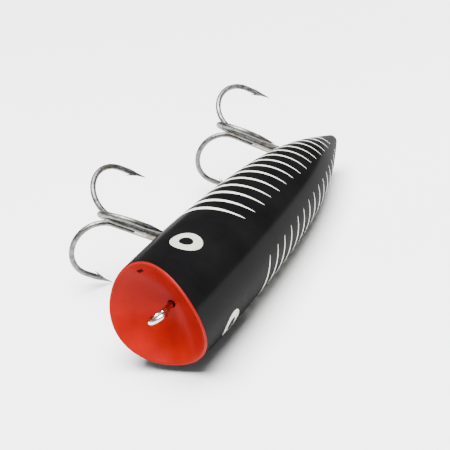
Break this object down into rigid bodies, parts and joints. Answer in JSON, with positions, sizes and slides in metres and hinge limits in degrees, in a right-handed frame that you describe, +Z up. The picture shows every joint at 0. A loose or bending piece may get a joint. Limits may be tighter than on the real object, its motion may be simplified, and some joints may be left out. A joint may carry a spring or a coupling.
{
  "type": "topwater popper fishing lure",
  "caption": "Topwater popper fishing lure: a hollow torpedo body with a cupped mouth and line eye, carrying treble hooks on split rings",
  "frame": {"origin": "under the middle of the box of the whole part, on the surface it lies on", "axes": "+X towards the mouth along the body, +Z up; the lure lies on its port side with its hooks on the surface"},
  "size_m": [0.1108, 0.0542, 0.0279],
  "materials": {
    "black_lacquer": "high gloss lacquer over moulded plastic, with pale painted ribs and eyes",
    "red_lacquer": "high gloss red lacquer over moulded plastic",
    "stainless_wire": "drawn bright wire",
    "nickel_plate": "bright nickel plate",
    "hook_steel": "grey nickel plate, grainy, slightly tarnished",
    "hook_braze": "brazed seam, dark and tarnished",
    "ballast_steel": "bare machined slug"
  },
  "bodies": {
    "lure_body": {"body_shell_port": "black_lacquer", "body_shell_starboard": "black_lacquer", "mouth_cup": "red_lacquer", "line_tie": "stainless_wire", "ballast_weight": "ballast_steel", "front_hanger_cup": "nickel_plate", "front_hook_hanger": "stainless_wire", "rear_hanger_washer": "nickel_plate", "rear_hook_hanger": "stainless_wire"},
    "front_ring": {"front_split_ring": "stainless_wire"},
    "front_treble": {"front_treble_double": "hook_steel", "front_treble_single": "hook_steel", "front_treble_braze": "hook_braze"},
    "rear_ring": {"rear_split_ring": "stainless_wire"},
    "rear_treble": {"rear_treble_double": "hook_steel", "rear_treble_single": "hook_steel", "rear_treble_braze": "hook_braze"}
  },
  "joints": [
    {"name": "front_ring_swing", "type": "hinge", "parent": "lure_body", "child": "front_ring", "pos_m": [0.00461, 0.00009, 0.00513], "axis": [0.9986, 0, 0.0522], "range_deg": [0, 102]},
    {"name": "front_hook_swing", "type": "hinge", "parent": "front_ring", "child": "front_treble", "pos_m": [0.00461, -0.00391, 0.00524], "axis": [0.4184, -0.0241, -0.9079], "range_deg": [0, 104]},
    {"name": "rear_ring_swing", "type": "hinge", "parent": "lure_body", "child": "rear_ring", "pos_m": [-0.04301, 0.00596, 0.00563], "axis": [0.0465, 0.4542, -0.8897], "range_deg": [-66, 6]},
    {"name": "rear_hook_swing", "type": "hinge", "parent": "rear_ring", "child": "rear_treble", "pos_m": [-0.04658, 0.00763, 0.0063], "axis": [0.4407, 0.7355, 0.5146], "range_deg": [-106, 2]}
  ]
}
